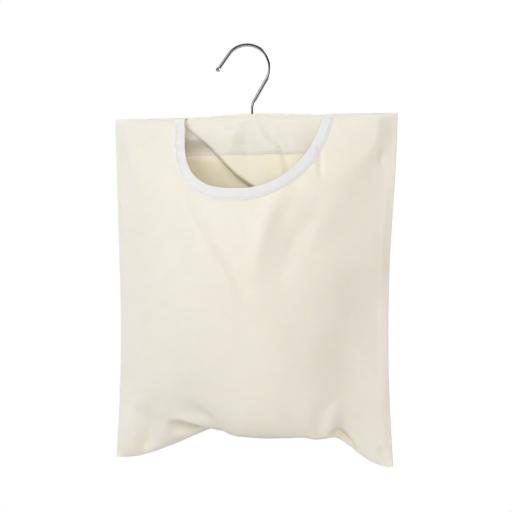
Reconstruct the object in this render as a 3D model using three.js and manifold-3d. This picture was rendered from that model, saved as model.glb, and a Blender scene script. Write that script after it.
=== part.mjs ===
// Peg bag: a sewn cotton bag with a bound half-round mouth, hung from a wooden bar on a swivelling hook.
// Millimetres, +Z up, +X to the right of the bag as seen from its front, which faces -Y.
// The origin is the inside of the hook's bend, straight above the shank, where a washing line lies.
// A drop is a distance below the bag's top seam, a depth is a distance from the plane of the side seams.
import * as THREE from "three";
import { mergeVertices } from "three/addons/utils/BufferGeometryUtils.js";
import Module from "manifold-3d";

// The hook, bent from round wire in one plane
const WIRE_DIAMETER = 3.5;
const HOOK_INNER_RADIUS = 20.9;
const HOOK_BEND_OFFSET = 5.6; // the bend's centre lies this far to the tip's side of the shank
const HOOK_FLARE = 6.4; // the ball at the tip stands this far outside the bend
const HOOK_TIP_BELOW = 2; // and this far below the bend's centre
const HOOK_BALL_DIAMETER = 4.6;
const HOOK_SLOPE_BELOW = 13.3; // from the bend's lowest point down to the slope's foot on the shank's axis
const HOOK_NECK_RADIUS = 15;
const HOOK_TURN = 20; // degrees about the shank, the way the hook is left standing
const SHANK_ABOVE_BAG = 12.9; // from the slope's foot down to the top seam
const HEAD_DIAMETER = 7.5; // the end of the shank, peened over below the washer
const HEAD_HEIGHT = 2;
const TURNING_CLEARANCE = 0.3;

// The washer between the bar and the shank's head
const WASHER_DIAMETER = 9.2;
const WASHER_THICKNESS = 1;

// The wooden bar inside the top of the bag
const BAR_END_CLEAR = 25; // from each end of the bar to the side seam
const BAR_HEIGHT = 18;
const BAR_THICKNESS = 10;
const BAR_EDGE_RADIUS = 1.5;
const BAR_HOLD = 3; // the higher, the further down the panels keep the bar's depth
const BAR_END_SHARE = 0.25; // the cloth lies flat this far past the bar's end, as a share of its clearance

// The cloth, its thread and how closely sewn layers lie
const CLOTH = 0.8;
const TAPE = 0.6;
const THREAD_DIAMETER = 0.8;
const LAYER_GAP = 0.35;
const FACING_GAP = 0.6; // the facing's sewn edge lies a little looser on the slope of the back panel

// The bag as it hangs
const BAG_WIDTH = 300;
const BAG_DROP = 345; // to the tips of the two lower corners
const SIDE_PINCH = 7; // the belly draws each side seam in by this much
const PINCH_LOW = 1.3; // the higher, the lower the most of it lies
const CORNER_PINCH = 3; // and the corners stay drawn in a little
const SWAY = 1.5; // below the mouth the bag hangs this far to the left
const SEAM_LIFT = 43; // the middle of the bottom seam rides this far above the corners
const CORNER_RUN = 4; // the corners stay low over this length of the bottom seam
const LEFT_EAR_RUN = 150; // then the seam climbs, slowly on the left
const RIGHT_EAR_RUN = 86; // and faster on the right
const FRONT_BELLY = 52;
const FRONT_BELLY_LOW = 1.25; // the higher, the lower the belly lies
const BACK_BELLY = 30;
const BACK_BELLY_LOW = 1.5;
const BELLY_POINTED = 0.6; // 1 is a sine wave, less is fuller
const FRONT_SLACK = 46; // spare cloth that rolls under the belly, in front of the bottom seam
const BACK_SLACK = 24;
const ROLL_LEFT_END = 72; // the roll starts this far left of the middle
const ROLL_LEFT_RUN = 70; // and reaches its full size over this length
const ROLL_RIGHT_END = 119;
const ROLL_RIGHT_RUN = 48;
const ROLL_POWER = 6; // the higher, the closer the roll keeps to the bottom seam
const RIDGE_LIFT = 3; // the top seam peaks at the hook
const RIDGE_RUN = 50;

// The fold that pushes the back panel forward behind the mouth
const FOLD_PUSH = 20;
const FOLD_EDGE_RUN = 16;
const FOLD_START_DROP = 4; // its edge starts here at the mouth's left end
const FOLD_FOOT_RIGHT = 5; // and ends this far right of the middle, at the mouth's depth
const FOLD_FADE_BELOW = 110;
const FOLD_FADE_RIGHT = 90;

// The half-round mouth cut into the front panel, and the tape that binds its edge
const MOUTH_WIDTH = 145;
const MOUTH_DEPTH = 74;
const MOUTH_RIGHT = 5; // its middle lies this far right of the hook
const MOUTH_FULLNESS_LEFT = 2.9; // the left half hangs open squarer than a round arc
const MOUTH_FULLNESS_RIGHT = 1.95;
const BINDING_WIDTH = 10.5;
const BINDING_STITCH_IN = 2; // from the tape's long edge to its line of stitching
const BINDING_END_DROP = 1.6; // the tape stops this far below the top seam
const BINDING_SEAM_END = 0.02; // the stitching stops at this share of the tape's length from each end

// Where the seams' threads stop
const HOOK_OPENING = 20; // the top seam is left open this far for the hook
const SEAM_END = 3; // from a seam's end to the corner of the bag

// The facing that closes the bar's channel inside the bag
const FACING_END_CLEAR = 10; // from each end of the facing to the side seam
const FACING_TAIL = 13.6; // from the hook's head down to the facing's lower edge

// Facets
const WIRE_SIDES = 10;
const HOOK_STEPS = 72;
const ROUND_SIDES = 28;
const THREAD_SIDES = 6;
const SEAM_STEP = 9;
const SIDE_SHARE = 0.34; // of the way round the front panel's edge, for each side seam
const BALL_SIDES = 16;
const BAR_ROUND_STEPS = 8;
const SIDE_SPOKES = 19;
const SIDE_SPOKE_CROWD = 1.5; // the crowding of points towards one end, 1 being even
const BOTTOM_SPOKES = 18;
const FRONT_RINGS = 9;
const FRONT_RING_CROWD = 1.6;
const BACK_COLUMNS = 24;
const BACK_COLUMN_CROWD = 1.2;
const BACK_ROWS = 16;
const BACK_ROW_CROWD = 1.4;
const FACING_COLUMNS = 28;
const FACING_FLAT_ROWS = 3;
const FACING_TAIL_ROWS = 4;
const BORE_OVERCUT = 1;

// Levels and reaches that follow from the sizes above
const wireRadius = WIRE_DIAMETER / 2;
const threadRadius = THREAD_DIAMETER / 2;
const hookBend = HOOK_INNER_RADIUS + wireRadius;
const bendCentre = new THREE.Vector2(
  -HOOK_BEND_OFFSET,
  -Math.sqrt(HOOK_INNER_RADIUS ** 2 - HOOK_BEND_OFFSET ** 2),
);
const hookTip = new THREE.Vector2(-HOOK_BEND_OFFSET - hookBend - HOOK_FLARE, bendCentre.y - HOOK_TIP_BELOW);
const slopeFoot = bendCentre.y - hookBend - HOOK_SLOPE_BELOW;
const bagTop = slopeFoot - SHANK_ABOVE_BAG;
const bagHalf = BAG_WIDTH / 2;
const seamDepth = threadRadius + LAYER_GAP + CLOTH / 2; // from the seam's thread to the middle of a panel
const barRadius = BAR_THICKNESS / 2;
const facingReach = barRadius + LAYER_GAP + CLOTH / 2;
const backReach = facingReach;
const frontReach = facingReach + CLOTH + TAPE + 2 * LAYER_GAP;
const facingTop = frontReach - facingReach;
const barRoundDrop = frontReach; // the drop of the axis that all the layers over the bar curve about
const barTop = barRoundDrop - barRadius;
const barBottom = barTop + BAR_HEIGHT;
const washerTop = barBottom + TURNING_CLEARANCE;
const headTop = washerTop + WASHER_THICKNESS + TURNING_CLEARANCE;
const headBottom = headTop + HEAD_HEIGHT;
const facingDrop = headBottom + FACING_TAIL;
const facingHalf = bagHalf - FACING_END_CLEAR;
const barHalf = bagHalf - BAR_END_CLEAR;
const topThreadDrop = facingTop - LAYER_GAP - threadRadius;
const boreRadius = wireRadius + TURNING_CLEARANCE;
const hookParting = boreRadius + CLOTH / 2 + LAYER_GAP; // the layers part around the shank by this much

const { smoothstep, lerp, clamp, degToRad } = THREE.MathUtils;

// Cloth and finishes
const canvas = new THREE.MeshStandardMaterial({ color: "#efeadb", roughness: 0.95, metalness: 0 });
const tape = new THREE.MeshStandardMaterial({ color: "#f2efec", roughness: 0.9, metalness: 0 });
const thread = new THREE.MeshStandardMaterial({ color: "#f1ece0", roughness: 0.9, metalness: 0 });
const chrome = new THREE.MeshStandardMaterial({ color: "#c9cacb", roughness: 0.12, metalness: 1 });
const steel = new THREE.MeshStandardMaterial({ color: "#b4b4b2", roughness: 0.35, metalness: 1 });
const beech = new THREE.MeshStandardMaterial({ color: "#cfa67a", roughness: 0.6, metalness: 0 });

// How the bag hangs

// Half the bag's width at a drop.
function halfWidth(drop) {
  const down = clamp(drop / BAG_DROP, 0, 1);
  return bagHalf - SIDE_PINCH * Math.sin(Math.PI * down ** PINCH_LOW) - CORNER_PINCH * down ** 2;
}

// Where a point lies from left to right, across from -1 at the left side seam to 1 at the right one.
function sideways(across, drop) {
  return across * halfWidth(drop) - SWAY * smoothstep(drop, MOUTH_DEPTH / 2, 2 * MOUTH_DEPTH);
}

// The drop of the bottom seam.
function bottomSeamDrop(across) {
  const inward = (1 - Math.abs(across)) * bagHalf;
  const run = across < 0 ? LEFT_EAR_RUN : RIGHT_EAR_RUN;
  return BAG_DROP - SEAM_LIFT * smoothstep(inward, CORNER_RUN, CORNER_RUN + run);
}

// How a panel's drop runs from the top seam, down 0, to the bottom seam, down 1. Its slack hangs lower.
function panelDrop(across, down, slack) {
  const fromLeft = across * bagHalf + ROLL_LEFT_END;
  const fromRight = ROLL_RIGHT_END - across * bagHalf;
  const middle = smoothstep(fromLeft, 0, ROLL_LEFT_RUN) * smoothstep(fromRight, 0, ROLL_RIGHT_RUN);
  const most = (ROLL_POWER / (ROLL_POWER + 1)) ** ROLL_POWER / (ROLL_POWER + 1);
  const roll = (down ** ROLL_POWER * (1 - down)) / most;
  return bottomSeamDrop(across) * down + slack * middle * roll;
}

// The swell of a hanging panel from its top seam to its bottom seam, at most 1.
function swell(down, low) {
  return Math.sin(Math.PI * clamp(down, 0, 1) ** low) ** BELLY_POINTED;
}

// The depth of a layer that lies over the bar's rounded top and hangs on down its side.
function overBar(drop, reach) {
  const above = Math.max(0, barRoundDrop - drop);
  return Math.sqrt(Math.max(0, reach ** 2 - above ** 2));
}

// 1 across the bar, falling to 0 at the side seams.
function barPlate(across) {
  return 1 - smoothstep(Math.abs(across) * bagHalf, lerp(barHalf, bagHalf, BAR_END_SHARE), bagHalf);
}

// How far a panel stands out from the seams over the bar: it comes back to the bottom seam.
function panelOverBar(across, down, drop, reach) {
  return overBar(drop, reach) * (1 - seamDepth / reach) * barPlate(across) * (1 - down ** BAR_HOLD);
}

// The top seam stands a little higher, and its layers part, where the hook comes out.
function ridgeLift(x, drop) {
  const fade = clamp(1 - drop / barRoundDrop, 0, 1);
  return RIDGE_LIFT * Math.exp(-((x / RIDGE_RUN) ** 2)) * fade;
}
function partAtHook(x, drop) {
  const fade = 1 - smoothstep(drop, barTop, barRoundDrop);
  return hookParting * Math.exp(-((x / (2 * hookParting)) ** 2)) * fade;
}

// How far the fold behind the mouth pushes the back panel forward.
function foldPush(x, drop) {
  const start = new THREE.Vector2(MOUTH_RIGHT - MOUTH_WIDTH / 2, FOLD_START_DROP);
  const along = new THREE.Vector2(FOLD_FOOT_RIGHT, MOUTH_DEPTH).sub(start).normalize();
  const beside = (x - start.x) * along.y - (drop - start.y) * along.x;
  const edge = smoothstep(beside, -FOLD_EDGE_RUN, FOLD_EDGE_RUN);
  const above = smoothstep(drop, barBottom, MOUTH_DEPTH);
  const below = 1 - smoothstep(drop, MOUTH_DEPTH, MOUTH_DEPTH + FOLD_FADE_BELOW);
  const right = 1 - smoothstep(x, MOUTH_WIDTH / 4, MOUTH_WIDTH / 4 + FOLD_FADE_RIGHT);
  return FOLD_PUSH * edge * above * below * right;
}

// Points of the layers' middle surfaces
function frontPoint(across, down) {
  const drop = panelDrop(across, down, FRONT_SLACK);
  const x = sideways(across, drop);
  const bar = panelOverBar(across, down, drop, frontReach);
  const belly = FRONT_BELLY * (1 - across ** 2) * swell(down, FRONT_BELLY_LOW);
  return new THREE.Vector3(x, -(seamDepth + bar + belly), bagTop - drop);
}
function backPoint(across, down) {
  const drop = panelDrop(across, down, BACK_SLACK);
  const x = sideways(across, drop);
  const bar = panelOverBar(across, down, drop, backReach);
  const belly = BACK_BELLY * (1 - across ** 2) * swell(down, BACK_BELLY_LOW);
  const depth = seamDepth + bar + belly + partAtHook(x, drop) - foldPush(x, drop);
  return new THREE.Vector3(x, depth, bagTop - drop + ridgeLift(x, drop));
}
function facingPoint(x, drop) {
  const across = x / halfWidth(drop);
  const back = backPoint(across, drop / bottomSeamDrop(across));
  const sewn = back.y - CLOTH - THREAD_DIAMETER - 2 * FACING_GAP;
  const over = -overBar(drop, facingReach) * barPlate(across) - partAtHook(x, drop);
  const joined = smoothstep(drop, headBottom, facingDrop);
  return new THREE.Vector3(x, lerp(over, sewn, joined), bagTop - drop + ridgeLift(x, drop));
}

// The mouth's cut edge, from its right end at 0 round to its left end at 1, moved outward by an inset.
function mouthEdge(round, inset) {
  const angle = Math.PI * round;
  const side = round < 0.5 ? 1 : -1;
  const fullness = side > 0 ? MOUTH_FULLNESS_RIGHT : MOUTH_FULLNESS_LEFT;
  const wide = Math.abs(Math.cos(angle)) ** (2 / fullness);
  const deep = Math.sin(angle) ** (2 / fullness);
  const normal = new THREE.Vector2(
    (side * wide ** (fullness - 1)) / (MOUTH_WIDTH / 2),
    deep ** (fullness - 1) / MOUTH_DEPTH,
  ).normalize();
  const x = MOUTH_RIGHT + side * wide * (MOUTH_WIDTH / 2) + normal.x * inset;
  const drop = deep * MOUTH_DEPTH + normal.y * inset;
  const across = x / halfWidth(drop);
  return { across, down: drop / bottomSeamDrop(across), drop };
}

// The front panel's outer edge, from the right end of the top seam round the bag to the left end.
function outerEdge(round) {
  if (round < SIDE_SHARE) return { across: 1, down: round / SIDE_SHARE };
  if (round > 1 - SIDE_SHARE) return { across: -1, down: (1 - round) / SIDE_SHARE };
  return { across: 1 - (2 * (round - SIDE_SHARE)) / (1 - 2 * SIDE_SHARE), down: 1 };
}

// Geometry helpers

// The unit normal of a surface given by a function of two numbers.
function normalOf(surface, u, v) {
  const step = 1e-4;
  const alongU = surface(u + step, v).sub(surface(u - step, v));
  const alongV = surface(u, v + step).sub(surface(u, v - step));
  return alongU.cross(alongV).normalize();
}

// A closed body between two grids of points, face and lining, joined round their border.
function twoSided(face, lining) {
  const rows = face.length;
  const columns = face[0].length;
  const count = rows * columns;
  const index = [];
  const quad = (a, b, c, d) => index.push(a, b, c, a, c, d);
  for (let i = 0; i + 1 < rows; i++) {
    for (let j = 0; j + 1 < columns; j++) {
      const a = i * columns + j;
      const b = a + 1;
      const c = b + columns;
      const d = a + columns;
      quad(a, b, c, d);
      quad(count + a, count + d, count + c, count + b);
    }
  }
  const border = [];
  for (let j = 0; j < columns; j++) border.push(j);
  for (let i = 1; i < rows; i++) border.push(i * columns + columns - 1);
  for (let j = columns - 2; j >= 0; j--) border.push((rows - 1) * columns + j);
  for (let i = rows - 2; i > 0; i--) border.push(i * columns);
  border.forEach((a, k) => {
    const b = border[(k + 1) % border.length];
    quad(a, count + a, count + b, b);
  });
  const geometry = new THREE.BufferGeometry().setFromPoints([...face.flat(), ...lining.flat()]);
  geometry.setIndex(index);
  geometry.computeVertexNormals();
  return geometry;
}

// A sheet of cloth of an even thickness about a middle surface, on a grid of [u, v] pairs.
function sheet(surface, grid, thickness) {
  const offset = (out) =>
    grid.map((row) => row.map(([u, v]) => surface(u, v).addScaledVector(normalOf(surface, u, v), out)));
  return twoSided(offset(thickness / 2), offset(-thickness / 2));
}

// A line through space given by a function of a number from 0 to 1.
class Line extends THREE.Curve {
  constructor(at) {
    super();
    this.at = at;
  }
  getPoint(along) {
    return this.at(along);
  }
}
function round(radius) {
  const shape = new THREE.Shape();
  shape.absarc(0, 0, radius, 0, 2 * Math.PI);
  return shape;
}
function tube(path, radius, steps, sides) {
  return new THREE.ExtrudeGeometry(round(radius), {
    extrudePath: path,
    steps,
    curveSegments: sides / 2,
    bevelEnabled: false,
  });
}
function disc(radius, bore, low, high) {
  const shape = round(radius);
  if (bore) shape.holes.push(round(bore));
  const geometry = new THREE.ExtrudeGeometry(shape, {
    depth: high - low,
    curveSegments: ROUND_SIDES / 2,
    bevelEnabled: false,
  });
  return geometry.translate(0, 0, low);
}

// Joins and cuts
const wasm = await Module();
wasm.setup();
function solid(geometry) {
  const bare = geometry.clone();
  bare.deleteAttribute("normal");
  bare.deleteAttribute("uv");
  const merged = mergeVertices(bare, 1e-3);
  return new wasm.Manifold(
    new wasm.Mesh({
      numProp: 3,
      vertProperties: new Float32Array(merged.attributes.position.array),
      triVerts: new Uint32Array(merged.index.array),
    }),
  );
}
function geometryOf(manifold) {
  const mesh = manifold.getMesh();
  const geometry = new THREE.BufferGeometry();
  geometry.setAttribute("position", new THREE.BufferAttribute(mesh.vertProperties, 3));
  geometry.setIndex(new THREE.BufferAttribute(mesh.triVerts, 1));
  geometry.computeVertexNormals();
  return geometry;
}

// The hook's centre line, in its own plane: across from the shank towards +X, and up
function hookLine() {
  const neck = new THREE.Vector2(0, slopeFoot);
  const end = new THREE.Vector2(0, bagTop - headBottom);
  // The angle, about the bend's centre, where a straight run from a point touches the bend.
  const touch = (point, turn) => {
    const out = point.clone().sub(bendCentre);
    return out.angle() + turn * Math.acos(hookBend / out.length());
  };
  const on = (middle, radius, angle) =>
    new THREE.Vector2(middle.x + radius * Math.cos(angle), middle.y + radius * Math.sin(angle));
  const first = touch(hookTip, -1);
  const last = touch(neck, 1) - 2 * Math.PI;
  const slopeTop = on(bendCentre, hookBend, last);
  const slope = neck.clone().sub(slopeTop).normalize();
  const lean = Math.acos(-slope.y);
  const cut = HOOK_NECK_RADIUS * Math.tan(lean / 2);
  const neckTop = neck.clone().addScaledVector(slope, -cut);
  const neckCentre = new THREE.Vector2(HOOK_NECK_RADIUS, neck.y - cut);
  const straight = (a, b) => ({ length: a.distanceTo(b), at: (k) => a.clone().lerp(b, k) });
  const arc = (middle, radius, from, to) => ({
    length: Math.abs(to - from) * radius,
    at: (k) => on(middle, radius, lerp(from, to, k)),
  });
  const runs = [
    straight(hookTip, on(bendCentre, hookBend, first)),
    arc(bendCentre, hookBend, first, last),
    straight(slopeTop, neckTop),
    arc(neckCentre, HOOK_NECK_RADIUS, Math.PI - lean, Math.PI),
    straight(new THREE.Vector2(0, neck.y - cut), end),
  ];
  const whole = runs.reduce((sum, run) => sum + run.length, 0);
  return new Line((along) => {
    let rest = along * whole;
    let k = 0;
    while (k + 1 < runs.length && rest > runs[k].length) {
      rest -= runs[k].length;
      k += 1;
    }
    const point = runs[k].at(rest / runs[k].length);
    return new THREE.Vector3(point.x, 0, point.y);
  });
}
function hook() {
  const wire = solid(tube(hookLine(), wireRadius, HOOK_STEPS, WIRE_SIDES));
  const ball = new THREE.SphereGeometry(HOOK_BALL_DIAMETER / 2, BALL_SIDES, BALL_SIDES);
  ball.translate(hookTip.x, 0, hookTip.y);
  const head = disc(HEAD_DIAMETER / 2, 0, bagTop - headBottom, bagTop - headTop);
  const mesh = new THREE.Mesh(geometryOf(wire.add(solid(ball)).add(solid(head))), chrome);
  mesh.rotation.z = degToRad(HOOK_TURN);
  return mesh;
}

function swivelWasher() {
  const low = bagTop - washerTop - WASHER_THICKNESS;
  return new THREE.Mesh(disc(WASHER_DIAMETER / 2, boreRadius, low, low + WASHER_THICKNESS), steel);
}

// The bar's section is round on top, where the cloth hangs over it, and flat below.
function hangerBar() {
  const section = new THREE.Shape();
  const low = barRadius - BAR_HEIGHT;
  section.absarc(0, 0, barRadius, 0, Math.PI);
  section.lineTo(-barRadius, low + BAR_EDGE_RADIUS);
  const edge = barRadius - BAR_EDGE_RADIUS;
  section.absarc(-edge, low + BAR_EDGE_RADIUS, BAR_EDGE_RADIUS, Math.PI, 1.5 * Math.PI);
  section.absarc(edge, low + BAR_EDGE_RADIUS, BAR_EDGE_RADIUS, 1.5 * Math.PI, 2 * Math.PI);
  const body = new THREE.ExtrudeGeometry(section, {
    depth: 2 * barHalf,
    curveSegments: BAR_ROUND_STEPS,
    bevelEnabled: false,
  });
  const toBag = new THREE.Matrix4().makeBasis(
    new THREE.Vector3(0, 1, 0),
    new THREE.Vector3(0, 0, 1),
    new THREE.Vector3(1, 0, 0),
  );
  toBag.setPosition(-barHalf, 0, bagTop - barRoundDrop);
  body.applyMatrix4(toBag);
  const bore = disc(boreRadius, 0, bagTop - barBottom - BORE_OVERCUT, bagTop - barTop + BORE_OVERCUT);
  return new THREE.Mesh(geometryOf(solid(body).subtract(solid(bore))), beech);
}

// Spokes crowd towards the top seam, where the front panel turns over the bar. Two meet the lower corners.
function frontSpokes() {
  const side = Array.from({ length: SIDE_SPOKES }, (_, k) =>
    SIDE_SHARE * (k / SIDE_SPOKES) ** SIDE_SPOKE_CROWD,
  );
  const bottom = Array.from({ length: BOTTOM_SPOKES + 1 }, (_, k) =>
    lerp(SIDE_SHARE, 1 - SIDE_SHARE, k / BOTTOM_SPOKES),
  );
  return [...side, ...bottom, ...side.map((spoke) => 1 - spoke).reverse()];
}

// The front panel runs out in rings from the mouth's cut edge, under the binding, to the bag's seams.
const bindingInsets = [0, BINDING_WIDTH / 2, BINDING_WIDTH];
function frontPanel() {
  const grid = frontSpokes().map((spoke) => {
    const bound = bindingInsets.map((inset) => mouthEdge(spoke, inset));
    const ring = bound.map(({ across, down }) => [across, down]);
    const inner = bound.at(-1);
    const outer = outerEdge(spoke);
    for (let k = 1; k <= FRONT_RINGS; k++) {
      const out = 1 - (1 - k / FRONT_RINGS) ** FRONT_RING_CROWD;
      ring.push([lerp(inner.across, outer.across, out), lerp(inner.down, outer.down, out)]);
    }
    return ring;
  });
  return new THREE.Mesh(sheet(frontPoint, grid, CLOTH), canvas);
}

// The drops of the rows of points that take a layer over the bar's rounded top.
const overBarDrops = [0, 0.15, 0.5, 1].map((share) => lerp(facingTop, barRoundDrop, share));

function backPanel() {
  const rows = [0, ...overBarDrops].map((drop) => (across) => drop / bottomSeamDrop(across));
  for (let k = 1; k <= BACK_ROWS; k++) {
    const low = 1 - (1 - k / BACK_ROWS) ** BACK_ROW_CROWD;
    rows.push((across) => lerp(barRoundDrop / bottomSeamDrop(across), 1, low));
  }
  const columns = Array.from({ length: BACK_COLUMNS + 1 }, (_, j) => {
    const even = (2 * j) / BACK_COLUMNS - 1;
    return Math.sign(even) * (1 - (1 - Math.abs(even)) ** BACK_COLUMN_CROWD);
  });
  const grid = rows.map((down) => columns.map((across) => [across, down(across)]));
  return new THREE.Mesh(sheet(backPoint, grid, CLOTH), canvas);
}

function hangerFacing() {
  const drops = [...overBarDrops];
  const addRows = (from, to, count) => {
    for (let k = 1; k <= count; k++) drops.push(lerp(from, to, k / count));
  };
  addRows(barRoundDrop, headBottom, FACING_FLAT_ROWS);
  addRows(headBottom, facingDrop, FACING_TAIL_ROWS);
  const columns = Array.from({ length: FACING_COLUMNS + 1 }, (_, j) =>
    lerp(-facingHalf, facingHalf, j / FACING_COLUMNS),
  );
  const grid = drops.map((drop) => columns.map((x) => [x, drop]));
  return new THREE.Mesh(sheet(facingPoint, grid, CLOTH), canvas);
}

// A point of the front panel near the mouth, an inset from the cut edge and a distance out from its middle.
function besideMouth(spoke, inset, out) {
  const { across, down } = mouthEdge(spoke, inset);
  return frontPoint(across, down).addScaledVector(normalOf(frontPoint, across, down), -out);
}

// The tape folds over the mouth's cut edge, with a leaf on each face of the front panel.
function mouthBinding() {
  const stations = frontSpokes().filter((spoke) => mouthEdge(spoke, 0).drop > BINDING_END_DROP);
  const layer = (out) => {
    const leaf = bindingInsets.map((inset) => [inset, out]).reverse();
    const fold = [CLOTH / 2 - out, 0];
    const lining = bindingInsets.map((inset) => [inset, -out]);
    return stations.map((spoke) =>
      [...leaf, fold, ...lining].map(([inset, side]) => besideMouth(spoke, inset, side)),
    );
  };
  const inner = CLOTH / 2 + LAYER_GAP;
  return new THREE.Mesh(twoSided(layer(inner + TAPE), layer(inner)), tape);
}

// Lines of stitching, each one thread laid along its seam
function stitched(at) {
  const line = new Line(at);
  const steps = Math.ceil(line.getLength() / SEAM_STEP);
  return new THREE.Mesh(tube(line, threadRadius, steps, THREAD_SIDES), thread);
}
function topSeam(side) {
  const ends = [(side * HOOK_OPENING) / 2, side * (bagHalf - SEAM_END)];
  return stitched((along) => {
    const x = lerp(...ends, along);
    return new THREE.Vector3(x, 0, bagTop - topThreadDrop + ridgeLift(x, topThreadDrop));
  });
}
function sideSeam(side) {
  return stitched((along) => {
    const drop = lerp(2 * SEAM_END, BAG_DROP - SEAM_END, along);
    return new THREE.Vector3(sideways(side, drop), 0, bagTop - drop);
  });
}
function bottomSeam() {
  const reach = 1 - SEAM_END / bagHalf;
  return stitched((along) => {
    const across = lerp(-reach, reach, along);
    const drop = bottomSeamDrop(across);
    return new THREE.Vector3(sideways(across, drop), 0, bagTop - drop);
  });
}
function facingSeam() {
  const drop = facingDrop - threadRadius;
  const reach = facingHalf - SEAM_END;
  const behind = CLOTH / 2 + FACING_GAP + threadRadius;
  return stitched((along) => {
    const point = facingPoint(lerp(-reach, reach, along), drop);
    return point.setY(point.y + behind);
  });
}
function bindingSeam() {
  const out = CLOTH / 2 + LAYER_GAP + TAPE + LAYER_GAP + threadRadius;
  const inset = BINDING_WIDTH - BINDING_STITCH_IN;
  return stitched((along) => besideMouth(lerp(BINDING_SEAM_END, 1 - BINDING_SEAM_END, along), inset, out));
}

// The whole bag, each piece by its name
const pieces = {
  hook: hook(),
  swivel_washer: swivelWasher(),
  hanger_bar: hangerBar(),
  back_panel: backPanel(),
  hanger_facing: hangerFacing(),
  front_panel: frontPanel(),
  mouth_binding: mouthBinding(),
  top_seam_left: topSeam(-1),
  top_seam_right: topSeam(1),
  side_seam_left: sideSeam(-1),
  side_seam_right: sideSeam(1),
  bottom_seam: bottomSeam(),
  facing_seam: facingSeam(),
  binding_seam: bindingSeam(),
};
const pegBag = new THREE.Group();
for (const [name, mesh] of Object.entries(pieces)) {
  mesh.name = name;
  pegBag.add(mesh);
}
export default pegBag;
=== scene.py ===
# %% [markdown]
# # A hanging peg bag
# This lesson dresses a peg bag: two canvas panels sewn together, a bound mouth, a wooden bar inside the top
# and a bright wire hook. The hard sizes come from a finished frame, and Blender adds the cloth's drape and
# the finishes.

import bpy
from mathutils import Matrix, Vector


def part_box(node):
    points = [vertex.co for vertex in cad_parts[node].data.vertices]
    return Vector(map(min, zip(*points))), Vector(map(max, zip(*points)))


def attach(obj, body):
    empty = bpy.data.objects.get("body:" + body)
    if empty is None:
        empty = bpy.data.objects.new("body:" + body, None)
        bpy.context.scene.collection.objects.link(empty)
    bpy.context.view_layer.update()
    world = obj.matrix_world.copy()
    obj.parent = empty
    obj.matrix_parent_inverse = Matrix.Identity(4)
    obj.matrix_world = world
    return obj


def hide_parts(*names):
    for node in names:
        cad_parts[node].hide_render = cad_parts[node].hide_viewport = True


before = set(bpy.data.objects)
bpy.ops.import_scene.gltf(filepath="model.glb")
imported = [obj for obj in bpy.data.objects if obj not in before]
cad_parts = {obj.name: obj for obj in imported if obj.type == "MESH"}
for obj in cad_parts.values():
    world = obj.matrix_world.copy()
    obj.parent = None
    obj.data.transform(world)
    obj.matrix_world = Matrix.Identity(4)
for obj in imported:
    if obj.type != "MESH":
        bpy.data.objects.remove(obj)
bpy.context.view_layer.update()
print("nodes in the frame:", sorted(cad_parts))

# %% Tools
import math

import bpy
import numpy as np
from mathutils import Vector

MM = 0.001  # sizes below are millimetres, and Blender works in metres

# %% [markdown]
# ## The bag's sizes
# A bag hangs by its top seam, so heights are counted as drops below that seam. The same few sizes set the
# bar, the seams and the belly, and every sheet below is worked out from them. Most of them repeat the
# frame's own values.

# %% Sizes
WIRE = 3.5
CLOTH = 0.8
TAPE = 0.55
THREAD = 0.7
HALF = 150.0  # half the bag's width
BAG_DROP = 345.0  # to the tips of the lower corners
BAG_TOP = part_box("front_panel")[1][2] / MM - CLOTH / 2
BAR_HALF = 125.0
BAR_AXIS = 7.85  # the drop of the axis that the layers over the bar curve about
FRONT_REACH = 7.85  # from that axis forward to the front panel
BACK_REACH = 5.75  # and back to the back panel
BAR_BOTTOM = 20.85
HEAD_BOTTOM = 24.45  # the drop of the foot of the hook's head
FACING_DROP = 38.05
FACING_HALF = 140.0
MOUTH_WIDTH = 145.0
MOUTH_DEPTH = 74.0
MOUTH_RIGHT = 5.0  # its middle lies this far right of the hook
BINDING_WIDTH = 10.5
SEAM_GAP = 0.08  # the two panels all but touch along their seams
SEAM_DEPTH = CLOTH / 2 + SEAM_GAP
print(f"top seam at {BAG_TOP:.1f} mm, bag {2 * HALF:.0f} by {BAG_DROP:.0f} mm")

# %% [markdown]
# ## How the bag hangs
# What fills the bag draws the side seams in, the two lower corners hang down as ears, and the front rolls
# under in a belly before it reaches the bottom seam. A cloth simulation would need the filling as well. Here
# the shape is a lofted shell from a few formulas, because they can be matched to the real outline, and the
# folds are pressed in later.

# %% Outline
SIDE_PINCH = 7.0
PINCH_LOW = 1.3  # the higher, the lower the most of the pinch lies
CORNER_PINCH = 3.0
SWAY = 1.5  # below the mouth the bag hangs this far to the left
SEAM_LIFT = 43.0  # the middle of the bottom seam rides this far above the corners
CORNER_RUN = 4.0
LEFT_EAR_RUN = 150.0
RIGHT_EAR_RUN = 86.0


def smooth(value, low, high):
    """0 below low, 1 above high, with an even S between."""
    part = np.clip((value - low) / (high - low), 0, 1)
    return part * part * (3 - 2 * part)


def half_width(drop):
    down = np.clip(drop / BAG_DROP, 0, 1)
    return HALF - SIDE_PINCH * np.sin(np.pi * down**PINCH_LOW) - CORNER_PINCH * down**2


def sideways(across, drop):
    """Left to right place of a point, across from -1 at the left seam to 1 at the right one."""
    return across * half_width(drop) - SWAY * smooth(drop, MOUTH_DEPTH / 2, 2 * MOUTH_DEPTH)


def bottom_seam_drop(across):
    inward = (1 - np.abs(across)) * HALF
    run = np.where(across < 0, LEFT_EAR_RUN, RIGHT_EAR_RUN)
    return BAG_DROP - SEAM_LIFT * smooth(inward, CORNER_RUN, CORNER_RUN + run)


print("bottom seam hangs at", bottom_seam_drop(np.array([-1.0, 0.0, 1.0])).round(0), "mm")

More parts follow.
